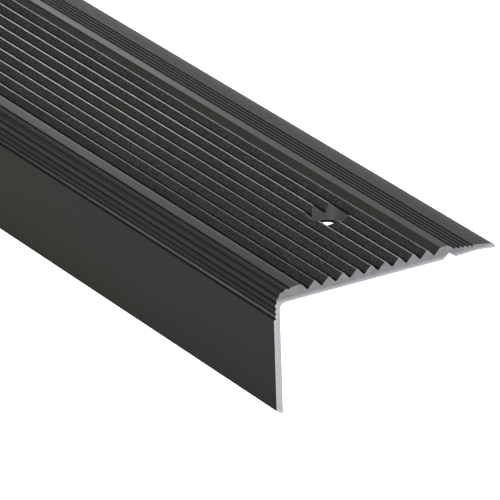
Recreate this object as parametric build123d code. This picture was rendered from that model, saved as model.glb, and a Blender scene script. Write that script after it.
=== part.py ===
from build123d import *
from math import atan2, cos, degrees, pi, radians, sin, tan
import os

# Stair nosing: one extruded aluminium angle with a ribbed tread flange, a plain front leg and
# countersunk screw holes. Millimetres.
# The section is drawn as it sits on a step: y runs back from the front leg's face, z = 0 is the
# underside of the tread flange. The last step lays the finished profile down on its own edges.

# Stock length and screw holes
LENGTH = 900.0
HOLE_COUNT = 6
END_MARGIN = 25.0          # from each cut end to the nearest hole
HOLE_LINE = 28.3           # from the front face to the row of holes
BORE_DIAMETER = 4.0
COUNTERSINK_DIAMETER = 8.9  # at the height of the ridge tips
COUNTERSINK_ANGLE = 90.0

# Ridged field of the tread
WEB = 1.5                  # wall left under the valleys between the ridges
RIDGE_COUNT = 9
RIDGE_PITCH = 3.16
RIDGE_FLANK_ANGLE = 46.0   # of each flank to the tread
RIDGE_TIP_RADIUS = 0.28
RIDGE_VALLEY_RADIUS = 0.25

# Front edge of the tread: a broad bead, then a rounded nose with fine grooves
FRONT_BEAD_DEPTH = 7.4     # from the front face to the first valley
FRONT_BEAD_HEIGHT = 2.9
FRONT_BEAD_FALL = 0.2      # the bead's top is this much lower where the nose begins
FRONT_BEAD_SHOULDER = 0.8
NOSE_RADIUS = 3.0
NOSE_SETBACK = 0.33        # the nose stands this far behind the front face
NOSE_GROOVE_COUNT = 7
NOSE_GROOVE_WIDTH = 0.4
NOSE_GROOVE_DEPTH = 0.32
NOSE_FIRST_PITCH = 0.93    # between the two lowest grooves, which leave a narrow rib
NOSE_TOP_PITCH = 1.75      # between the two highest, which leave a wide one
NOSE_RIB_CROWN = 0.05      # each rib's middle stands this far proud of the nose's round
NOSE_RIB_RADIUS = 0.8

# Back edge of the tread: a flat-topped bead, a strip of fine grooves and a thin sloping lip
BACK_BEAD_DEPTH = 4.6      # from the last valley to the first fine groove
BACK_BEAD_HEIGHT = 2.72
BACK_BEAD_WIDTH = 2.0      # of its flat top
BACK_BEAD_FRONT_RADIUS = 0.6
BACK_BEAD_REAR_RADIUS = 1.0
STRIP_GROOVE_COUNT = 5
STRIP_PITCH = 1.0
STRIP_GROOVE_WIDTH = 0.62
STRIP_GROOVE_DEPTH = 0.33
STRIP_START_HEIGHT = 1.95  # rib tops at the front of the strip
STRIP_END_HEIGHT = 1.5     # and at its back
LIP_DEPTH = 5.55           # from the last fine groove to the lip's edge
LIP_SLOPE_ANGLE = 8.5
LIP_NOSE_ANGLE = 30.0
LIP_NOSE_DEPTH = 1.2
LIP_EDGE_DROP = 0.3        # the edge presses below the flange's underside

# Underside of the back edge
RELIEF_HEIGHT = 0.2        # shallow arch between the foot and the lip's edge
FOOT_WIDTH = 0.7
NOTCH_WIDTH = 2.85
NOTCH_HEIGHT = 1.3
NOTCH_RADIUS = 0.4

# Front leg
LEG_DROP = 22.8            # from the flange's underside to the toe
FACE_DROP = 3.1            # from the flange's underside to the top of the plain face
LEG_THICKNESS = 1.45
LEG_LEAN = 2.0             # degrees, towards the step
TOE_BEVEL = 0.9            # the toe's outer edge is this much higher than its inner edge
INNER_CORNER_RADIUS = 1.1

# Small roundings
EDGE_RADIUS = 0.2
FINE_GROOVE_RADIUS = 0.06
FINE_EDGE_RADIUS = 0.1
RELIEF_RADIUS = 6.0

# Sizes worked out from the ones above
flank_rise = RIDGE_PITCH / 2 * tan(radians(RIDGE_FLANK_ANGLE))
valley_z = WEB - RIDGE_VALLEY_RADIUS * (1 / cos(radians(RIDGE_FLANK_ANGLE)) - 1)
ridge_tip_z = valley_z + flank_rise
ridge_top = ridge_tip_z - RIDGE_TIP_RADIUS * (1 / cos(radians(RIDGE_FLANK_ANGLE)) - 1)
nose_top_z = FRONT_BEAD_HEIGHT - FRONT_BEAD_FALL
last_valley_y = FRONT_BEAD_DEPTH + RIDGE_COUNT * RIDGE_PITCH
strip_y = last_valley_y + BACK_BEAD_DEPTH
lip_y = strip_y + (STRIP_GROOVE_COUNT - 1) * STRIP_PITCH
tread_depth = lip_y + LIP_DEPTH
hole_spacing = (LENGTH - 2 * END_MARGIN) / (HOLE_COUNT - 1)


# Each function below gives one stretch of the section as corners (y, z, rounding radius). The
# stretches follow each other round the section: up the nose, back over the tread, forward along
# the underside and down the leg.

def nose_point(along, outward, radius):
    """A corner a given way up the nose from the plain face's top, moved outward."""
    straight = nose_top_z - NOSE_RADIUS + FACE_DROP
    turn = max(along - straight, 0.0) / NOSE_RADIUS
    reach = NOSE_RADIUS + outward
    y = NOSE_SETBACK + NOSE_RADIUS - reach * cos(turn)
    z = min(along, straight) - FACE_DROP + reach * sin(turn)
    return y, z, radius


def nose_corners():
    """Fine grooves with crowned ribs between them, from the plain face up to the bead."""
    half = NOSE_GROOVE_WIDTH / 2
    second = half + NOSE_FIRST_PITCH
    top = nose_top_z - NOSE_RADIUS + FACE_DROP + NOSE_RADIUS * pi / 2
    pitch = (top - NOSE_TOP_PITCH - second) / (NOSE_GROOVE_COUNT - 3)
    grooves = [half] + [second + i * pitch for i in range(NOSE_GROOVE_COUNT - 2)] + [top]
    corners = []
    for groove, following in zip(grooves, grooves[1:]):
        corners.append(nose_point(groove, -NOSE_GROOVE_DEPTH, FINE_GROOVE_RADIUS))
        corners.append(nose_point(groove + half, 0.0, FINE_EDGE_RADIUS))
        corners.append(nose_point((groove + following) / 2, NOSE_RIB_CROWN, NOSE_RIB_RADIUS))
        corners.append(nose_point(following - half, 0.0, FINE_EDGE_RADIUS))
    corners.append(nose_point(top, -NOSE_GROOVE_DEPTH, FINE_GROOVE_RADIUS))
    return corners


def front_bead_corners():
    """Broad bead: a nearly flat top that ends in the flank down to the first valley."""
    front_y = NOSE_SETBACK + NOSE_RADIUS + NOSE_GROOVE_WIDTH / 2
    shoulder_run = (FRONT_BEAD_HEIGHT - valley_z) / tan(radians(RIDGE_FLANK_ANGLE))
    return [
        (front_y, nose_top_z, FINE_EDGE_RADIUS),
        (FRONT_BEAD_DEPTH - shoulder_run, FRONT_BEAD_HEIGHT, FRONT_BEAD_SHOULDER),
    ]


def ridge_corners():
    """Valleys and ridge tips across the tread, from the first valley to the last."""
    corners = [(FRONT_BEAD_DEPTH, valley_z, RIDGE_VALLEY_RADIUS)]
    for i in range(RIDGE_COUNT):
        valley_y = FRONT_BEAD_DEPTH + i * RIDGE_PITCH
        corners.append((valley_y + RIDGE_PITCH / 2, ridge_tip_z, RIDGE_TIP_RADIUS))
        corners.append((valley_y + RIDGE_PITCH, valley_z, RIDGE_VALLEY_RADIUS))
    return corners


def back_bead_corners():
    """Flat-topped bead behind the last valley, rounded more at its rear than at its front."""
    rise = BACK_BEAD_HEIGHT - valley_z
    front_y = last_valley_y + rise / tan(radians(RIDGE_FLANK_ANGLE))
    return [
        (front_y, BACK_BEAD_HEIGHT, BACK_BEAD_FRONT_RADIUS),
        (front_y + BACK_BEAD_WIDTH, BACK_BEAD_HEIGHT, BACK_BEAD_REAR_RADIUS),
    ]


def strip_corners():
    """Fine grooves with flat ribs between them; the rib tops fall gently towards the lip."""
    half = STRIP_GROOVE_WIDTH / 2
    fall = (STRIP_START_HEIGHT - STRIP_END_HEIGHT) / (STRIP_GROOVE_COUNT - 1)
    corners = []
    for i in range(STRIP_GROOVE_COUNT):
        y, z = strip_y + i * STRIP_PITCH, STRIP_START_HEIGHT - i * fall
        corners.append((y - half, z, FINE_EDGE_RADIUS))
        corners.append((y, z - STRIP_GROOVE_DEPTH, FINE_GROOVE_RADIUS))
        corners.append((y + half, z, FINE_EDGE_RADIUS))
    return corners


def lip_corners():
    """Thin lip: sloping top, bevelled edge and the lower edge that presses on the step."""
    bevel_y = tread_depth - LIP_NOSE_DEPTH
    fall = (bevel_y - lip_y - STRIP_GROOVE_WIDTH / 2) * tan(radians(LIP_SLOPE_ANGLE))
    bevel_z = STRIP_END_HEIGHT - fall
    edge_top_z = bevel_z - LIP_NOSE_DEPTH * tan(radians(LIP_NOSE_ANGLE))
    return [
        (bevel_y, bevel_z, 2 * EDGE_RADIUS),
        (tread_depth, edge_top_z, EDGE_RADIUS / 2),
        (tread_depth, -LIP_EDGE_DROP, EDGE_RADIUS),
    ]


def underside_corners():
    """Relief arch under the lip, the foot, the notch under the bead and the flat underside."""
    foot_y = strip_y + FOOT_WIDTH
    return [
        ((foot_y + FOOT_WIDTH + tread_depth) / 2, RELIEF_HEIGHT, RELIEF_RADIUS),
        (foot_y + FOOT_WIDTH / 2, 0.0, EDGE_RADIUS),
        (foot_y - FOOT_WIDTH / 2, 0.0, EDGE_RADIUS / 2),
        (foot_y - FOOT_WIDTH / 2 - NOTCH_WIDTH * 0.45, NOTCH_HEIGHT, NOTCH_RADIUS),
        (foot_y - FOOT_WIDTH / 2 - NOTCH_WIDTH, 0.0, EDGE_RADIUS),
    ]


def leg_corners():
    """Front leg: inner corner, the toe's two edges and the top edge of the plain face."""
    lean = tan(radians(LEG_LEAN))
    inner = LEG_THICKNESS / cos(radians(LEG_LEAN))
    toe_y = (LEG_DROP - FACE_DROP) * lean
    outer_toe_y = toe_y - TOE_BEVEL * lean
    return [
        (inner - FACE_DROP * lean, 0.0, INNER_CORNER_RADIUS),
        (toe_y + inner, -LEG_DROP, EDGE_RADIUS),
        (outer_toe_y, -LEG_DROP + TOE_BEVEL, EDGE_RADIUS),
        (0.0, -FACE_DROP, EDGE_RADIUS / 2),
    ]


def section():
    """The whole section as one face, y to the right and z up."""
    corners = nose_corners() + front_bead_corners() + ridge_corners() + back_bead_corners()
    corners += strip_corners() + lip_corners() + underside_corners() + leg_corners()
    points = [(y, z) for y, z, _ in corners]
    radii = [radius for _, _, radius in corners]
    return make_face(FilletPolyline(*points, radius=radii, close=True))


def screw_cutter(x):
    """Bore and countersink of one screw hole, square to the tread at the distance x."""
    slope = tan(radians(COUNTERSINK_ANGLE / 2))
    cone_height = (COUNTERSINK_DIAMETER - BORE_DIAMETER) / 2 / slope
    cone = Cone(BORE_DIAMETER / 2, COUNTERSINK_DIAMETER / 2, cone_height,
                align=(Align.CENTER, Align.CENTER, Align.MAX))
    bore = Cylinder(BORE_DIAMETER / 2, 2 * ridge_top)
    return Pos(x, HOLE_LINE, 0) * (Pos(0, 0, ridge_top) * cone + bore)


def resting_tilt(face):
    """Tilt in degrees that puts the toe and the lip's edge on one level."""
    arcs = face.edges().filter_by(GeomType.CIRCLE)
    toe = arcs.sort_by(lambda arc: arc.arc_center.Y)[0].arc_center
    lip_edges = arcs.sort_by(lambda arc: arc.arc_center.X)[-2:]
    lip = lip_edges.sort_by(lambda arc: arc.arc_center.Y)[0].arc_center
    return degrees(atan2(lip.Y - toe.Y, lip.X - toe.X))


def nosing():
    """The profile with its holes, laid down: ribs up, on the toe and on the lip's edge."""
    face = section()
    profile = extrude(Plane.YZ.offset(-LENGTH / 2) * face, LENGTH)
    first = END_MARGIN - LENGTH / 2
    profile -= [screw_cutter(first + i * hole_spacing) for i in range(HOLE_COUNT)]
    laid = Rot(X=-resting_tilt(face)) * profile
    box = laid.bounding_box()
    return Pos(0, -box.center().Y, -box.min.Z) * laid


os.makedirs("parts", exist_ok=True)
export_step(nosing(), "parts/nosing.step")
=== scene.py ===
from math import atan2, ceil, cos, pi, radians, sin, tan

import bmesh
import bpy
from mathutils import Matrix, Vector


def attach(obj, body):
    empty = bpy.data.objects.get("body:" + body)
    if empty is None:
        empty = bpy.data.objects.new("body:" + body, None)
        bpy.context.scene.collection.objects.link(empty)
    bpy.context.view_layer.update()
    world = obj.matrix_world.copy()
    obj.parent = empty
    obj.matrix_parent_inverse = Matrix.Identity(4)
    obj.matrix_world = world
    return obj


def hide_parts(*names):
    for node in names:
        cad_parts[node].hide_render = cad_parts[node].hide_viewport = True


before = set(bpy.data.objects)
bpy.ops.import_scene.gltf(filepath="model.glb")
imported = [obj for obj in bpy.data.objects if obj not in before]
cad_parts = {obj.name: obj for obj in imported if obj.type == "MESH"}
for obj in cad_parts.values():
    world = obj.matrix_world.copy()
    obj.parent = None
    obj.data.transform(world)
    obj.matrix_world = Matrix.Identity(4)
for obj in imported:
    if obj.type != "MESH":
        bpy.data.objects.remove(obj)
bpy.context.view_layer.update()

# Stair nosing in dark anodised aluminium, seen past its sawn end as in the photograph.
# The section is worked out in millimetres as it sits on a step: y runs back from the front
# leg's face, z = 0 is the underside of the tread flange, x runs along the stock. The matrix
# `laid` then puts it where the CAD node lies, in metres.

MM = 0.001

# Sizes of the profile, as in part.py
LENGTH = 900.0
HOLE_COUNT = 6
END_MARGIN = 25.0
HOLE_LINE = 28.3
BORE_DIAMETER = 4.0
COUNTERSINK_DIAMETER = 8.9
COUNTERSINK_ANGLE = 90.0

WEB = 1.5
RIDGE_COUNT = 9
RIDGE_PITCH = 3.16
RIDGE_FLANK_ANGLE = 46.0
RIDGE_TIP_RADIUS = 0.28
RIDGE_VALLEY_RADIUS = 0.25

FRONT_BEAD_DEPTH = 7.4
FRONT_BEAD_HEIGHT = 2.9
FRONT_BEAD_FALL = 0.2
FRONT_BEAD_SHOULDER = 0.8
NOSE_RADIUS = 3.0
NOSE_SETBACK = 0.33
NOSE_GROOVE_COUNT = 7
NOSE_GROOVE_WIDTH = 0.4
NOSE_GROOVE_DEPTH = 0.32
NOSE_RIB_CROWN = 0.05
NOSE_RIB_RADIUS = 0.8

BACK_BEAD_DEPTH = 4.6
BACK_BEAD_HEIGHT = 2.72
BACK_BEAD_WIDTH = 2.0
BACK_BEAD_FRONT_RADIUS = 0.6
BACK_BEAD_REAR_RADIUS = 1.0
STRIP_GROOVE_COUNT = 5
STRIP_PITCH = 1.0
STRIP_GROOVE_WIDTH = 0.62
STRIP_GROOVE_DEPTH = 0.33
STRIP_START_HEIGHT = 1.95
STRIP_END_HEIGHT = 1.5
LIP_DEPTH = 5.55
LIP_SLOPE_ANGLE = 8.5
LIP_NOSE_ANGLE = 30.0
LIP_NOSE_DEPTH = 1.2
LIP_EDGE_DROP = 0.3

RELIEF_HEIGHT = 0.2
FOOT_WIDTH = 0.7
NOTCH_WIDTH = 2.85
NOTCH_HEIGHT = 1.3
NOTCH_RADIUS = 0.4
NOTCH_PEAK = 0.45          # the share of its width at which the notch is highest

LEG_DROP = 22.8
FACE_DROP = 3.1
LEG_THICKNESS = 1.45
LEG_LEAN = 2.0
TOE_BEVEL = 0.9
INNER_CORNER_RADIUS = 1.1

EDGE_RADIUS = 0.2
FINE_GROOVE_RADIUS = 0.06
FINE_EDGE_RADIUS = 0.1
RELIEF_RADIUS = 6.0

flank_rise = RIDGE_PITCH / 2 * tan(radians(RIDGE_FLANK_ANGLE))
valley_z = WEB - RIDGE_VALLEY_RADIUS * (1 / cos(radians(RIDGE_FLANK_ANGLE)) - 1)
ridge_tip_z = valley_z + flank_rise
ridge_top = ridge_tip_z - RIDGE_TIP_RADIUS * (1 / cos(radians(RIDGE_FLANK_ANGLE)) - 1)
nose_top_z = FRONT_BEAD_HEIGHT - FRONT_BEAD_FALL
last_valley_y = FRONT_BEAD_DEPTH + RIDGE_COUNT * RIDGE_PITCH
strip_y = last_valley_y + BACK_BEAD_DEPTH
lip_y = strip_y + (STRIP_GROOVE_COUNT - 1) * STRIP_PITCH
tread_depth = lip_y + LIP_DEPTH
hole_spacing = (LENGTH - 2 * END_MARGIN) / (HOLE_COUNT - 1)
countersink_slope = tan(radians(COUNTERSINK_ANGLE / 2))
bore_top_z = ridge_top - (COUNTERSINK_DIAMETER - BORE_DIAMETER) / 2 / countersink_slope

# Mesh detail
ARC_STEP = radians(7)      # largest turn between two facets
ARC_CHORD = 0.12           # and longest facet on a rounding
CUT_CHAMFER = 0.08         # dressed edge of the sawn ends
HOLE_SIDES = 96
CUTTER_SPARE = 1.0         # what the holes' cutters stick out above and below
NOSE_LOW_PITCH = 0.99      # the grooves' pitch grows evenly from here up the nose
NOSE_GROOVE_ROUND = 0.1    # the nose is walked on, so its fine grooves are softened
NOSE_EDGE_ROUND = 0.16
NOSE_TOP_GROOVE_HALF = 0.4 # the top groove is wider
NOSE_TOP_CROWN = 0.01      # and the rib below it nearly flat
BEAD_FRONT_ROUND = 0.3     # the front bead's edge towards the nose

# Photograph
PHOTO_SIZE = 500
PHOTO_FOCAL = 6315.26                  # in pixels
PHOTO_ELEVATION = radians(23.956)      # over the tread
PHOTO_AZIMUTH = radians(57.138)        # round from straight ahead of the leg's face
CORNER_PIXEL = (274.8, 320.5)          # where the plain face's top corner shows
CORNER_POINT = (LENGTH / 2, 0.144, -3.08)
CAMERA_DISTANCE = 1168.9               # along the view, to that corner
SENSOR_WIDTH = 36.0
CLIP_START = 0.01
CLIP_END = 80.0


# The section as corners (y, z, rounding radius), stretch by stretch round the outline.

def nose_point(along, outward, radius):
    """A corner a given way up the nose from the plain face's top, moved outward."""
    straight = nose_top_z - NOSE_RADIUS + FACE_DROP
    turn = max(along - straight, 0.0) / NOSE_RADIUS
    reach = NOSE_RADIUS + outward
    y = NOSE_SETBACK + NOSE_RADIUS - reach * cos(turn)
    z = min(along, straight) - FACE_DROP + reach * sin(turn)
    return y, z, radius


def nose_corners():
    """Fine grooves with crowned ribs between them, from the plain face up to the bead."""
    half = NOSE_GROOVE_WIDTH / 2
    top = nose_top_z - NOSE_RADIUS + FACE_DROP + NOSE_RADIUS * pi / 2
    last = NOSE_GROOVE_COUNT - 1
    growth = (top - half - last * NOSE_LOW_PITCH) / (last * (last - 1) / 2)
    grooves = [half + i * NOSE_LOW_PITCH + i * (i - 1) / 2 * growth for i in range(last)] + [top]
    corners = []
    for groove, following in zip(grooves, grooves[1:]):
        above, crown = half, NOSE_RIB_CROWN
        if following == top:
            above, crown = NOSE_TOP_GROOVE_HALF, NOSE_TOP_CROWN
        corners.append(nose_point(groove, -NOSE_GROOVE_DEPTH, NOSE_GROOVE_ROUND))
        corners.append(nose_point(groove + half, 0.0, NOSE_EDGE_ROUND))
        corners.append(nose_point((groove + following) / 2, crown, NOSE_RIB_RADIUS))
        corners.append(nose_point(following - above, 0.0, NOSE_EDGE_ROUND))
    corners.append(nose_point(top, -NOSE_GROOVE_DEPTH, NOSE_GROOVE_ROUND))
    return corners


def front_bead_corners():
    front_y = NOSE_SETBACK + NOSE_RADIUS + NOSE_GROOVE_WIDTH / 2
    shoulder_run = (FRONT_BEAD_HEIGHT - valley_z) / tan(radians(RIDGE_FLANK_ANGLE))
    return [
        (front_y, nose_top_z, BEAD_FRONT_ROUND),
        (FRONT_BEAD_DEPTH - shoulder_run, FRONT_BEAD_HEIGHT, FRONT_BEAD_SHOULDER),
    ]


def ridge_corners():
    corners = [(FRONT_BEAD_DEPTH, valley_z, RIDGE_VALLEY_RADIUS)]
    for i in range(RIDGE_COUNT):
        valley_y = FRONT_BEAD_DEPTH + i * RIDGE_PITCH
        corners.append((valley_y + RIDGE_PITCH / 2, ridge_tip_z, RIDGE_TIP_RADIUS))
        corners.append((valley_y + RIDGE_PITCH, valley_z, RIDGE_VALLEY_RADIUS))
    return corners


def back_bead_corners():
    rise = BACK_BEAD_HEIGHT - valley_z
    front_y = last_valley_y + rise / tan(radians(RIDGE_FLANK_ANGLE))
    return [
        (front_y, BACK_BEAD_HEIGHT, BACK_BEAD_FRONT_RADIUS),
        (front_y + BACK_BEAD_WIDTH, BACK_BEAD_HEIGHT, BACK_BEAD_REAR_RADIUS),
    ]


def strip_corners():
    half = STRIP_GROOVE_WIDTH / 2
    fall = (STRIP_START_HEIGHT - STRIP_END_HEIGHT) / (STRIP_GROOVE_COUNT - 1)
    corners = []
    for i in range(STRIP_GROOVE_COUNT):
        y, z = strip_y + i * STRIP_PITCH, STRIP_START_HEIGHT - i * fall
        corners.append((y - half, z, FINE_EDGE_RADIUS))
        corners.append((y, z - STRIP_GROOVE_DEPTH, FINE_GROOVE_RADIUS))
        corners.append((y + half, z, FINE_EDGE_RADIUS))
    return corners


def lip_corners():
    bevel_y = tread_depth - LIP_NOSE_DEPTH
    fall = (bevel_y - lip_y - STRIP_GROOVE_WIDTH / 2) * tan(radians(LIP_SLOPE_ANGLE))
    bevel_z = STRIP_END_HEIGHT - fall
    edge_top_z = bevel_z - LIP_NOSE_DEPTH * tan(radians(LIP_NOSE_ANGLE))
    return [
        (bevel_y, bevel_z, 2 * EDGE_RADIUS),
        (tread_depth, edge_top_z, EDGE_RADIUS / 2),
        (tread_depth, -LIP_EDGE_DROP, EDGE_RADIUS),
    ]


def underside_corners():
    foot_y = strip_y + FOOT_WIDTH
    return [
        ((foot_y + FOOT_WIDTH + tread_depth) / 2, RELIEF_HEIGHT, RELIEF_RADIUS),
        (foot_y + FOOT_WIDTH / 2, 0.0, EDGE_RADIUS),
        (foot_y - FOOT_WIDTH / 2, 0.0, EDGE_RADIUS / 2),
        (foot_y - FOOT_WIDTH / 2 - NOTCH_WIDTH * NOTCH_PEAK, NOTCH_HEIGHT, NOTCH_RADIUS),
        (foot_y - FOOT_WIDTH / 2 - NOTCH_WIDTH, 0.0, EDGE_RADIUS),
    ]


def leg_corners():
    lean = tan(radians(LEG_LEAN))
    inner = LEG_THICKNESS / cos(radians(LEG_LEAN))
    toe_y = (LEG_DROP - FACE_DROP) * lean
    outer_toe_y = toe_y - TOE_BEVEL * lean
    return [
        (inner - FACE_DROP * lean, 0.0, INNER_CORNER_RADIUS),
        (toe_y + inner, -LEG_DROP, EDGE_RADIUS),
        (outer_toe_y, -LEG_DROP + TOE_BEVEL, EDGE_RADIUS),
        (0.0, -FACE_DROP, EDGE_RADIUS),
    ]


def section_corners():
    corners = nose_corners() + front_bead_corners() + ridge_corners() + back_bead_corners()
    return corners + strip_corners() + lip_corners() + underside_corners() + leg_corners()


def arc_at(corners, i):
    """Centre, start and signed sweep of the rounding at one corner."""
    corner = Vector(corners[i][:2])
    before = (Vector(corners[i - 1][:2]) - corner).normalized()
    after = (Vector(corners[(i + 1) % len(corners)][:2]) - corner).normalized()
    half = before.angle(after) / 2
    radius = corners[i][2]
    centre = corner + (before + after).normalized() * (radius / sin(half))
    start = corner + before * (radius / tan(half))
    turn = before.x * after.y - before.y * after.x
    return centre, start, (pi - 2 * half) * (-1 if turn > 0 else 1)


def outline(corners):
    """The rounded section as points (y, z) and as outward directions, closed."""
    points, outward = [], []
    for i, (_, _, radius) in enumerate(corners):
        centre, start, sweep = arc_at(corners, i)
        spoke = start - centre
        steps = max(ceil(abs(sweep) / ARC_STEP), ceil(abs(sweep) * radius / ARC_CHORD))
        for k in range(steps + 1):
            arm = spoke.copy()
            arm.rotate(Matrix.Rotation(sweep * k / steps, 2))
            points.append(centre + arm)
            outward.append(arm.normalized() * (1 if sweep < 0 else -1))
    return points, outward


# Place on the floor

def resting_place():
    """The matrix that lays the section down on its toe and its lip's edge, in metres."""
    corners = section_corners()
    arcs = [arc_at(corners, i)[0] for i in range(len(corners))]
    toe, lip = (arcs[corners.index(c)] for c in (leg_corners()[1], lip_corners()[-1]))
    turn = Matrix.Rotation(-atan2(lip.y - toe.y, lip.x - toe.x), 4, "X")
    points = [turn @ Vector((0, y, z)) for y, z in outline(corners)[0]]
    middle_y = (min(p.y for p in points) + max(p.y for p in points)) / 2
    drop = min(p.z for p in points)
    return Matrix.Scale(MM, 4) @ Matrix.Translation((0, -middle_y, -drop)) @ turn


laid = resting_place()

# Material slots of the profile's mesh
FINISH, SAWN, DRILLED = 0, 1, 2


def profile_mesh():
    """The extruded section with dressed edges at both sawn ends."""
    points, outward = outline(section_corners())
    bm = bmesh.new()
    rings = []
    for x, inset in ((-LENGTH / 2, CUT_CHAMFER), (-LENGTH / 2 + CUT_CHAMFER, 0.0),
                     (LENGTH / 2 - CUT_CHAMFER, 0.0), (LENGTH / 2, CUT_CHAMFER)):
        rings.append([bm.verts.new((x, *(p - inset * n))) for p, n in zip(points, outward)])
    for band, material in enumerate((SAWN, FINISH, SAWN)):
        for i in range(len(points)):
            j = (i + 1) % len(points)
            face = bm.faces.new((rings[band][i], rings[band][j],
                                 rings[band + 1][j], rings[band + 1][i]))
            face.material_index = material
    for ring in (rings[0], rings[-1]):
        bm.faces.new(ring).material_index = SAWN
    bmesh.ops.recalc_face_normals(bm, faces=bm.faces)
    mesh = bpy.data.meshes.new("nosing_profile")
    bm.to_mesh(mesh)
    bm.free()
    return mesh


def cutter_mesh():
    """All the screw holes' bores and countersinks as one mesh of turned solids."""
    bore, rim = BORE_DIAMETER / 2, COUNTERSINK_DIAMETER / 2
    turned = [(bore, -CUTTER_SPARE), (bore, bore_top_z),
              (rim + CUTTER_SPARE * countersink_slope, ridge_top + CUTTER_SPARE)]
    bm = bmesh.new()
    for k in range(HOLE_COUNT):
        x = END_MARGIN - LENGTH / 2 + k * hole_spacing
        rings = []
        for radius, z in turned:
            ring = []
            for i in range(HOLE_SIDES):
                angle = 2 * pi * i / HOLE_SIDES
                place = (x + radius * cos(angle), HOLE_LINE + radius * sin(angle), z)
                ring.append(bm.verts.new(place))
            rings.append(ring)
        for low, high in zip(rings, rings[1:]):
            for i in range(HOLE_SIDES):
                j = (i + 1) % HOLE_SIDES
                bm.faces.new((low[i], low[j], high[j], high[i]))
        bm.faces.new(rings[0])
        bm.faces.new(rings[-1])
    for face in bm.faces:
        face.material_index = DRILLED
    bmesh.ops.recalc_face_normals(bm, faces=bm.faces)
    mesh = bpy.data.meshes.new("hole_cutters")
    bm.to_mesh(mesh)
    bm.free()
    return mesh


def add_object(name, data):
    made = bpy.data.objects.new(name, data)
    bpy.context.scene.collection.objects.link(made)
    return made


def drilled(piece, cutter):
    """Cuts the cutter out of the piece and keeps the result as the piece's mesh."""
    cut = piece.modifiers.new("holes", "BOOLEAN")
    cut.object, cut.operation, cut.solver = cutter, "DIFFERENCE", "EXACT"
    cut.material_mode = "INDEX"
    evaluated = piece.evaluated_get(bpy.context.evaluated_depsgraph_get())
    mesh = bpy.data.meshes.new_from_object(evaluated)
    piece.modifiers.clear()
    old, piece.data = piece.data, mesh
    bpy.data.meshes.remove(old)
    mesh.name = piece.name


# Node graphs

class Graph:
    """A material's nodes, with short calls for the kinds used here."""

    def __init__(self, tree):
        self.nodes, self.links = tree.nodes, tree.links

    def feed(self, node, inputs):
        """Fills a node's inputs: each is a socket to link or a value to set."""
        for name, value in inputs.items():
            if isinstance(value, bpy.types.NodeSocket):
                self.links.new(value, node.inputs[name])
            else:
                node.inputs[name].default_value = value

    def add(self, kind, inputs, **settings):
        made = self.nodes.new(kind)
        for name, value in settings.items():
            setattr(made, name, value)
        self.feed(made, inputs)
        return made.outputs[0]

    def maths(self, operation, a, b=0.0):
        return self.add("ShaderNodeMath", {0: a, 1: b}, operation=operation)

    def plus(self, a, b):
        return self.maths("ADD", a, b)

    def times(self, product, *factors):
        for factor in factors:
            product = self.maths("MULTIPLY", product, factor)
        return product

    def most(self, largest, *others):
        for other in others:
            largest = self.maths("MAXIMUM", largest, other)
        return largest

    def ramp(self, value, low, high, to_low=0.0, to_high=1.0):
        """Smooth step of a value from one range to another."""
        return self.add("ShaderNodeMapRange", {
            "Value": value, "From Min": low, "From Max": high,
            "To Min": to_low, "To Max": to_high}, interpolation_type="SMOOTHSTEP")

    def band(self, value, start, full, full_end, end):
        """1 between the middle two places, 0 outside the outer two."""
        return self.times(self.ramp(value, start, full), self.ramp(value, end, full_end))

    def noise(self, vector, scale, detail):
        return self.add("ShaderNodeTexNoise", {
            "Vector": vector, "Scale": scale, "Detail": detail})

    def stretched_noise(self, scales, detail):
        """Noise with its own scale along each of the section's axes."""
        vector = self.add("ShaderNodeMapping", {"Vector": self.place, "Scale": scales})
        return self.noise(vector, 1.0, detail)

    def blend(self, factor, a, b):
        """Mix of two colours."""
        made = self.nodes.new("ShaderNodeMix")
        made.data_type = "RGBA"
        self.feed(made, {0: factor, 6: a, 7: b})
        return made.outputs[2]

    def bump(self, height, strength, distance):
        return self.add("ShaderNodeBump", {
            "Height": height, "Strength": strength, "Distance": distance * MM})

    def openness(self, distance, inside=False):
        """How open the surface is: low in a crevice or, looking inside, low at an edge."""
        made = self.nodes.new("ShaderNodeAmbientOcclusion")
        made.samples, made.inside, made.only_local = OPENNESS_SAMPLES, inside, True
        made.inputs["Distance"].default_value = distance * MM
        return made.outputs["AO"]

    def measure_section(self):
        """Makes sockets of the place in the section's own frame, in millimetres."""
        shift, turn, scale = laid.inverted().decompose()
        coordinates = self.nodes.new("ShaderNodeTexCoord").outputs["Object"]
        self.place = self.add("ShaderNodeMapping", {
            "Vector": coordinates, "Location": shift, "Rotation": turn.to_euler(),
            "Scale": scale})
        split = self.nodes.new("ShaderNodeSeparateXYZ")
        self.links.new(self.place, split.inputs[0])
        self.x, self.y, self.z = split.outputs


def new_material(name):
    material = bpy.data.materials.new(name)
    material.use_nodes = True
    graph = Graph(material.node_tree)
    return material, graph, graph.nodes["Principled BSDF"]


def grey(level, warmth=0.0):
    """A near-neutral colour, warmer with positive warmth."""
    return (level * (1 + warmth), level, level * (1 - warmth), 1)


OPENNESS_SAMPLES = 8
WHITE = grey(1.0)
# Near-black of the dark specks, and of the painted shade in the hollows and the screw bores
SPECK_AND_SHADE_BLACK = grey(0.006)

# The tuples that are given to a ramp say where it starts and ends, in millimetres of the
# section's own frame or in levels of a noise, and then its two results if not 0 and 1.

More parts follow.
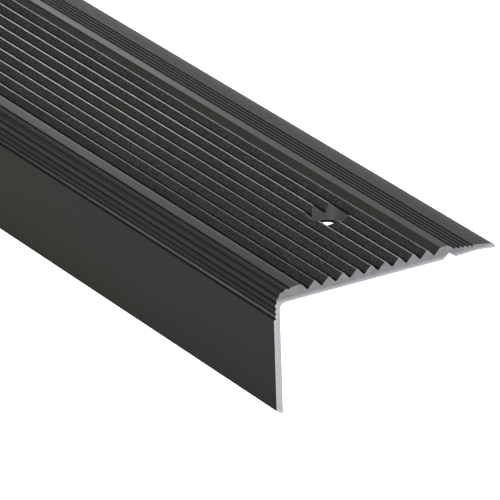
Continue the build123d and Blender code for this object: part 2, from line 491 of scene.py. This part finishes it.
# Base colour of the anodised finish
DARK = (0.0204, 0.0195, 0.0134, 1)
# A cool tint of painted light from above, for the nose and for the face near the cut end
COOL_LIGHT_TINT = (0.0197, 0.0197, 0.0183, 1)
BLUISH = (0.0153, 0.0183, 0.0213, 1)
OLIVE = (0.0285, 0.0235, 0.0108, 1)
LIP_BLUE = (0.0165, 0.0195, 0.0240, 1)
LIP_EDGE_GREY = (0.047, 0.051, 0.057, 1)
TREAD_START_Y = (2.6, 3.6)
TINT_SHARES = (0.15, 0.85)                 # on the nose and on the tread
MOTTLE_SCALE = 0.4
MOTTLE_TURN = (0.4, 0.62)
COOL_SLANT = 2.2                           # the painted cool light's border leans by this slope
COOL_END_X = (330.0, 385.0, 0.0, 0.8)
COOL_NOSE_Z = (-3.1, -2.8, 0.0, 0.7)
LIP_BLUE_Y = (strip_y - 0.5, lip_y + 0.5)
LIP_EDGE_Y = (tread_depth - 3.2, tread_depth - 1.8)


def base_colour(g):
    """Dark bronze, mottled on the tread, with a painted cool tint of light from above at the cut
    end's nose, and blue on the lip.
    """
    mottle = g.noise(g.place, MOTTLE_SCALE, 2.0)
    tint = g.blend(g.ramp(mottle, *MOTTLE_TURN), BLUISH, OLIVE)
    colour = g.blend(g.ramp(g.y, *TREAD_START_Y, *TINT_SHARES), DARK, tint)
    # Painted cool light: near the cut end with a slanted border, and up the nose
    towards_end = g.plus(g.x, g.times(g.z, COOL_SLANT))
    cool_light = g.most(g.ramp(towards_end, *COOL_END_X), g.ramp(g.z, *COOL_NOSE_Z))
    colour = g.blend(g.times(cool_light, g.ramp(g.y, *TREAD_START_Y, 1.0, 0.0)), colour, COOL_LIGHT_TINT)
    colour = g.blend(g.ramp(g.y, *LIP_BLUE_Y), colour, LIP_BLUE)
    return g.blend(g.ramp(g.y, *LIP_EDGE_Y), colour, LIP_EDGE_GREY)


# Fine specks of the anodised finish
SPECK_SCALES = (2.3, 5.0, 5.0)
LIGHT_SPECK_LEVELS = (0.52, 0.7)
DARK_SPECK_LEVELS = (0.52, 0.34)
SPECKS_OFF_RIDGES = 0.35                   # against 1 on the ridges
SPECKS_ON_LIP_Y = (lip_y, lip_y + 0.5, 0.0, 0.15)


def specks(g, ridges):
    """A fine noise and how strong its light and its dark specks are, on the tread only."""
    speckle = g.stretched_noise(SPECK_SCALES, 0.0)
    share = g.plus(g.ramp(ridges, 0.0, 1.0, SPECKS_OFF_RIDGES, 1.0),
                   g.ramp(g.y, *SPECKS_ON_LIP_Y))
    share = g.times(share, g.ramp(g.y, *TREAD_START_Y))
    light = g.times(g.ramp(speckle, *LIGHT_SPECK_LEVELS), share)
    dark = g.times(g.ramp(speckle, *DARK_SPECK_LEVELS), share)
    return speckle, light, dark


# Wear and painted highlights of the anodised finish
# The ridge tips get a painted highlight: a thin line of light bare metal on each tip's front,
# fading towards the cut end
TIP_Z = (ridge_top - 0.1, ridge_top - 0.03)
TIP_FRONT_SIDE = (0.512, 0.494)            # shares of the pitch
TIP_PATCH_SCALES = (0.35, 1.5, 0.0)
TIP_PATCHES = (0.3, 0.6, 0.7, 1.0)
HIGHLIGHT_SHIFT_START_X = 332.0                        # the tips' painted highlight fades, and the low rib's grows, from here
HIGHLIGHT_SHIFT_END_X = 412.0                         # to here, near the cut end
LEAST_TIP_HIGHLIGHT_Y = (20.0, 27.0, 0.3, 0.56)
FRONT_TIPS_Y = (5.0, 20.0, 0.5, 1.0)
BACK_TIPS_Y = (28.0, 35.0, 1.0, 0.5)
# The lowest nose rib gets a painted highlight, stronger towards the cut end
LOW_RIB_Z = (-2.75, -2.6, -2.25, -2.1)
LOW_RIB_Y = (0.55, 0.45)
LOW_RIB_HIGHLIGHT = 0.1
BEAD_EDGE_Y = (5.3, 5.7, 6.1, 6.4)
BEAD_EDGE_WEAR = 0.06
NICK_SPACING = 17.1
NICK_START = 6.0
NICK_HALF = (0.04, 0.015)                  # shares of the spacing
NICK_Y = (tread_depth - 0.5, tread_depth - 0.2)


def wear_and_highlights(g, ridges):
    """How bare and bright the metal is: a painted highlight on the ridge tips and the lowest nose
    rib, wear on the front bead's edge and lip nicks.
    """
    across = g.maths("DIVIDE", g.maths("SUBTRACT", g.y, FRONT_BEAD_DEPTH), RIDGE_PITCH)
    patches = g.stretched_noise(TIP_PATCH_SCALES, 3.0)
    least = g.ramp(g.y, *LEAST_TIP_HIGHLIGHT_Y)
    tips = g.times(g.ramp(g.z, *TIP_Z), g.ramp(g.maths("FRACT", across), *TIP_FRONT_SIDE),
                   ridges, g.ramp(patches, *TIP_PATCHES),
                   g.ramp(g.x, HIGHLIGHT_SHIFT_END_X, HIGHLIGHT_SHIFT_START_X, least, 1.0),
                   g.ramp(g.y, *FRONT_TIPS_Y), g.ramp(g.y, *BACK_TIPS_Y))
    low_rib = g.times(g.band(g.z, *LOW_RIB_Z), g.ramp(g.y, *LOW_RIB_Y),
                      g.ramp(g.x, HIGHLIGHT_SHIFT_START_X, HIGHLIGHT_SHIFT_END_X, 0.0, LOW_RIB_HIGHLIGHT))
    bead_edge = g.times(g.band(g.y, *BEAD_EDGE_Y), BEAD_EDGE_WEAR)
    along = g.maths("DIVIDE", g.plus(g.x, NICK_START), NICK_SPACING)
    nick = g.times(g.ramp(g.maths("PINGPONG", along, 0.5), *NICK_HALF), g.ramp(g.y, *NICK_Y))
    return g.most(tips, low_rib, bead_edge, nick)


# Painted shade of the anodised finish, in hollows that are also duller
CREVICE_REACH = 0.6
CREVICE_OPENNESS = (0.9, 0.45)
CREVICE_Z = (0.4, 1.4, 0.95, 0.45)         # the nose's crevices get more painted shade low down and those of the tread all get it
CREVICE_Y = (2.6, 3.1)                     # and those of the tread are all dull
CREVICE_START_Z = (-3.0, -2.6)             # the plain face below has none
VALLEY_Z = (valley_z + 0.46, valley_z + 0.27)
TOP_GROOVE_HALF = (0.35, 0.1)
TOP_GROOVE_Z = (2.0, 2.2, 0.0, 0.6)
# Painted shade on the first ridge's flank, where the front bead shades it
FIRST_FLANK_SHADE_Y = (FRONT_BEAD_DEPTH + 2.0, FRONT_BEAD_DEPTH + 1.2, 0.0, 0.6)


def shade_and_dullness(g, ridges):
    """How much shade is painted, and how dull the surface is: crevices, ridge valleys and the
    nose's top groove.
    """
    crevice = g.times(g.ramp(g.openness(CREVICE_REACH), *CREVICE_OPENNESS),
                      g.most(g.ramp(g.z, *CREVICE_Z), g.ramp(g.y, *CREVICE_Y)),
                      g.ramp(g.z, *CREVICE_START_Z))
    valley = g.times(g.ramp(g.z, *VALLEY_Z), ridges)
    from_groove = g.maths("ABSOLUTE", g.maths("SUBTRACT", g.y, NOSE_SETBACK + NOSE_RADIUS))
    top_groove = g.times(g.ramp(from_groove, *TOP_GROOVE_HALF), g.ramp(g.z, *TOP_GROOVE_Z))
    return g.most(crevice, valley, top_groove)


# Surface of the anodised finish
RIDGES_Y = (FRONT_BEAD_DEPTH - 0.3, FRONT_BEAD_DEPTH, last_valley_y - 0.3, last_valley_y + 0.2)
GRAIN_SCALES = (0.03, 6.0, 6.0)
GRAIN_ROUGHNESS = (0.3, 0.7, 0.16, 0.24)
DULL_ROUGHNESS = 0.25
SPECK_ROUGHNESS = 0.06
SPECK_GREY = grey(0.6)
SPECK_SHARE = 0.075
SPECK_RISE = 16.0                          # against the grain's height of 1
# Light bare metal, for the painted highlights and for wear
BARE_AND_HIGHLIGHT_GREY = (0.94, 0.94, 0.93, 1)
BARE_AND_HIGHLIGHT_METAL = 0.4
# Metallic of the hollows' near-black painted shade, which darkens their reflections too
SHADE_AND_DULL_METAL = 0.9
ANODISED_IOR = 1.42
GRAIN_BUMP = (0.25, 0.02)                  # strength and millimetres


def anodised():
    """Dark anodised finish: long extrusion grain, fine specks, a painted highlight on the tips,
    painted shade in the crevices.
    """
    material, g, shader = new_material("bronze_anodised")
    g.measure_section()
    ridges = g.band(g.y, *RIDGES_Y)
    grain = g.stretched_noise(GRAIN_SCALES, 3.0)
    speckle, light_specks, dark_specks = specks(g, ridges)
    first_flank_shade = g.times(g.ramp(g.y, *FIRST_FLANK_SHADE_Y), ridges)
    # Painted highlights on the tips and the lowest nose rib, with wear at the bead's edge and the
    # lip
    worn_and_highlit, shade_and_dull = wear_and_highlights(g, ridges), shade_and_dullness(g, ridges)

    colour = g.blend(g.times(light_specks, SPECK_SHARE), base_colour(g), SPECK_GREY)
    # Dark specks, then painted shade on the first flank and in the hollows
    for darkened in (dark_specks, first_flank_shade, shade_and_dull):
        colour = g.blend(darkened, colour, SPECK_AND_SHADE_BLACK)
    rough = g.plus(g.ramp(grain, *GRAIN_ROUGHNESS), g.times(shade_and_dull, DULL_ROUGHNESS))
    relief = g.plus(grain, g.times(speckle, ridges, SPECK_RISE))
    # The hollows' painted shade is near-black metal, which darkens their reflections as well
    g.feed(shader, {
        "Base Color": g.blend(worn_and_highlit, colour, BARE_AND_HIGHLIGHT_GREY),
        "Metallic": g.most(g.times(worn_and_highlit, BARE_AND_HIGHLIGHT_METAL), g.times(shade_and_dull, SHADE_AND_DULL_METAL)),
        "Roughness": g.plus(rough, g.times(light_specks, SPECK_ROUGHNESS)),
        "IOR": ANODISED_IOR,
        "Normal": g.bump(relief, *GRAIN_BUMP)})
    return material


# Sawn metal of the cut ends
SAWN_DULL = (0.298, 0.301, 0.314, 1)
SAWN_LIGHT = (0.350, 0.361, 0.366, 1)
SAWN_PAINTED_LIGHT = (0.80, 0.85, 0.93, 1)
SAWN_RIM_HIGHLIGHT = grey(0.9)
SAWN_METAL = 0.5
SAW_MARK_SCALES = (0.0, 0.35, 7.0)
SAW_MARK_ROUGHNESS = (0.3, 0.7, 0.38, 0.55)
SAW_MARK_BUMP = (0.3, 0.05)
SAWN_PATCH_SCALE = 0.6
SAWN_PATCHES = (0.35, 0.65)
LEG_Z = (-1.0, -2.5)                       # painted light: the leg's cut is lighter and so is the flange's, low down
UNDERSIDE_Z = (1.1, 0.1)                   # and so is the flange's, low down
PAINTED_LIGHT_SHARE = 0.6
RIM_REACH = 0.35
RIM_OPENNESS = (0.95, 0.6)
RIM_Z = (0.8, -2.0, 0.2, 1.0)              # the rim's painted highlight shows most on the leg


def sawn():
    """Bare metal of the cut end: saw marks across it, painted light on the leg and low down, and
    a dressed rim with a painted highlight.
    """
    material, g, shader = new_material("sawn_aluminium")
    g.measure_section()
    marks = g.stretched_noise(SAW_MARK_SCALES, 3.0)
    patches = g.noise(g.place, SAWN_PATCH_SCALE, 2.0)
    body = g.blend(g.ramp(patches, *SAWN_PATCHES), SAWN_DULL, SAWN_LIGHT)
    # Painted light: the leg's cut and the flange's cut low down are lighter
    painted_lit = g.most(g.ramp(g.z, *LEG_Z), g.ramp(g.z, *UNDERSIDE_Z))
    body = g.blend(g.times(painted_lit, PAINTED_LIGHT_SHARE), body, SAWN_PAINTED_LIGHT)
    # A dressed rim along the cut's edges, lightened with a painted highlight
    rim = g.times(g.ramp(g.openness(RIM_REACH, inside=True), *RIM_OPENNESS),
                  g.ramp(g.z, *RIM_Z))
    g.feed(shader, {
        "Base Color": g.blend(rim, body, SAWN_RIM_HIGHLIGHT),
        "Metallic": SAWN_METAL,
        "Roughness": g.ramp(marks, *SAW_MARK_ROUGHNESS),
        "Normal": g.bump(marks, *SAW_MARK_BUMP)})
    return material


# Inside of the screw holes
TURNED_DARK = grey(0.075, 0.05)
TURNED_LIGHT = grey(0.115, 0.05)
TURNING_SCALES = (0.0, 0.0, 6.0)
TURNING_LEVELS = (0.35, 0.65)
TURNING_ROUGHNESS = (0.3, 0.7, 0.4, 0.5)
TURNING_BUMP = (0.3, 0.03)
BORE_Z = (bore_top_z + 0.1, bore_top_z - 0.02)
BORE_ROUGHNESS = 0.4
TURNED_IOR = 1.45


def drilled_finish():
    """Inside of the screw holes: turned rings in the countersink, painted shade in the bore below
    it.
    """
    material, g, shader = new_material("anodised_countersink")
    g.measure_section()
    rings = g.stretched_noise(TURNING_SCALES, 2.0)
    turned = g.blend(g.ramp(rings, *TURNING_LEVELS), TURNED_DARK, TURNED_LIGHT)
    # Painted shade: the bore below the countersink turns near-black
    bore = g.ramp(g.z, *BORE_Z)
    g.feed(shader, {
        "Base Color": g.blend(bore, turned, SPECK_AND_SHADE_BLACK),
        "Roughness": g.plus(g.ramp(rings, *TURNING_ROUGHNESS), g.times(bore, BORE_ROUGHNESS)),
        "IOR": TURNED_IOR,
        "Normal": g.bump(rings, *TURNING_BUMP)})
    return material


# Piece
piece = add_object("nosing_profile", profile_mesh())
cutters = add_object("hole_cutters", cutter_mesh())
for material in (anodised(), sawn(), drilled_finish()):
    piece.data.materials.append(material)
    cutters.data.materials.append(material)
drilled(piece, cutters)
bpy.data.objects.remove(cutters)
piece.data.transform(laid)
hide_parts("nosing")
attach(piece, "root")

# Stage: the camera sees a light table with plain walls round it. The finish mirrors a plain
# pale board instead, which lies on the table and takes the profile's own soft shadow.
FLOOR_HALF = 20.0
TABLE_DROP = 0.00005
WALL_HEIGHT = 4.0
TABLE_GLOW = 2.0
BOARD_GLOW = 0.03
STAGE_GREY = grey(0.5)


def square_corners(height):
    """The floor's four corners at one height."""
    return [(x * FLOOR_HALF, y * FLOOR_HALF, height)
            for x, y in ((-1, -1), (1, -1), (1, 1), (-1, 1))]


def stage_mesh(name, points, faces, glow):
    """A matt grey surface that also glows."""
    mesh = bpy.data.meshes.new(name)
    mesh.from_pydata(points, [], faces)
    made = add_object(name, mesh)
    material, g, shader = new_material(name)
    g.feed(shader, {"Base Color": STAGE_GREY, "Specular IOR Level": 0.0,
                    "Emission Color": WHITE, "Emission Strength": glow})
    mesh.materials.append(material)
    return made


floor_face = (0, 1, 2, 3)
wall_faces = [(i, (i + 1) % 4, (i + 1) % 4 + 4, i + 4) for i in range(4)]
table_corners = square_corners(-TABLE_DROP)
table = stage_mesh("light_table", table_corners, [floor_face], TABLE_GLOW)
table.visible_glossy = False
walls = stage_mesh("plain_walls", table_corners + square_corners(WALL_HEIGHT), wall_faces,
                   TABLE_GLOW)
walls.visible_diffuse = False
walls.visible_glossy = False
walls.visible_shadow = False
walls.data.materials[0].cycles.emission_sampling = "NONE"
board = stage_mesh("pale_board", square_corners(0.0), [floor_face], BOARD_GLOW)
board.visible_camera = False
board.visible_diffuse = False
board.visible_shadow = False

# Light: a dim room, soft boxes at one distance round the profile's axis, which the beads, the
# nose and the face mirror, and two square boxes above that light the tips' painted highlight.
ROOM_LIGHT = 0.03
WATTS = 2.7                # an area light's power for one unit of radiance on 1 m2
BOX_REACH = 0.65           # from the axis to every soft box
FAR, MIDDLE, NEAR = -0.8, -0.44, -0.16     # places along the profile, away from the cut end
# Name, two angles round the axis (0 behind, 90 overhead), two places along it, radiance
SOFT_BOXES = (
    ("low_back_box", -12, 5, FAR, MIDDLE, 1.0),
    ("near_low_back_box", -12, 5, MIDDLE, NEAR, 0.77),
    ("back_box", 5, 27, FAR, MIDDLE, 2.05),
    ("near_back_box", 5, 27, MIDDLE, NEAR, 0.9),
    ("high_box", 30, 66, FAR, NEAR, 0.45),
    ("near_side_box", 76, 102, MIDDLE, NEAR, 1.1),
    ("side_box", 102, 124, FAR, MIDDLE, 1.15),
    ("near_low_side_box", 102, 124, MIDDLE, NEAR, 0.62),
    ("front_box", 124, 170, FAR, NEAR, 0.95),
)
OVERHEAD_X = LENGTH / 2 * MM - 0.07        # a little inside the cut end
OVERHEAD_SIZE = 0.6
# Name, distance behind the profile, height, radiance
OVERHEAD_BOXES = (
    ("key", 0.95, 0.85, 6.5),
    ("top", 0.0, 1.1, 4.2),
)


def area_light(name, width, length, radiance, location, tilt):
    """A rectangular soft box, tilted about the profile's axis and hidden from the camera."""
    data = bpy.data.lights.new(name, "AREA")
    data.shape = "RECTANGLE"
    data.size, data.size_y = width, length
    data.energy = WATTS * radiance * width * length
    made = add_object(name, data)
    made.location = location
    made.rotation_euler = (tilt, 0, 0)
    made.visible_camera = False


for name, low, high, start, end, radiance in SOFT_BOXES:
    angle = radians((low + high) / 2)
    spot = ((start + end) / 2, BOX_REACH * cos(angle), BOX_REACH * sin(angle))
    area_light(name, end - start, BOX_REACH * radians(high - low), radiance, spot, angle - pi / 2)
for name, back, height, radiance in OVERHEAD_BOXES:
    spot = (OVERHEAD_X, back, height)
    area_light(name, OVERHEAD_SIZE, OVERHEAD_SIZE, radiance, spot, -atan2(back, height))

world = bpy.data.worlds.new("studio")
bpy.context.scene.world = world
world.use_nodes = True
background = world.node_tree.nodes["Background"]
background.inputs["Color"].default_value = WHITE
background.inputs["Strength"].default_value = ROOM_LIGHT

scene = bpy.context.scene
scene.view_settings.view_transform = "Standard"


# Camera

def photo_camera():
    """The photograph's camera, fitted in the section's own frame and moved with the profile."""
    right = Vector((cos(PHOTO_AZIMUTH), sin(PHOTO_AZIMUTH), 0))
    back = Vector((sin(PHOTO_AZIMUTH) * cos(PHOTO_ELEVATION),
                   -cos(PHOTO_AZIMUTH) * cos(PHOTO_ELEVATION), sin(PHOTO_ELEVATION)))
    up = back.cross(right)
    across = (CORNER_PIXEL[0] - PHOTO_SIZE / 2) / PHOTO_FOCAL
    above = (PHOTO_SIZE / 2 - CORNER_PIXEL[1]) / PHOTO_FOCAL
    place = Vector(CORNER_POINT) - CAMERA_DISTANCE * (across * right + above * up - back)
    turn = Matrix((right, up, back)).transposed().to_4x4()
    data = bpy.data.cameras.new("photo_camera")
    data.sensor_width = SENSOR_WIDTH
    data.lens = PHOTO_FOCAL / PHOTO_SIZE * SENSOR_WIDTH
    data.clip_start, data.clip_end = CLIP_START, CLIP_END
    camera = add_object("photo_camera", data)
    laid_turn = laid.to_quaternion().to_matrix().to_4x4()
    camera.matrix_world = Matrix.Translation(laid @ place) @ laid_turn @ turn
    scene.camera = camera


photo_camera()

bpy.context.view_layer.update()
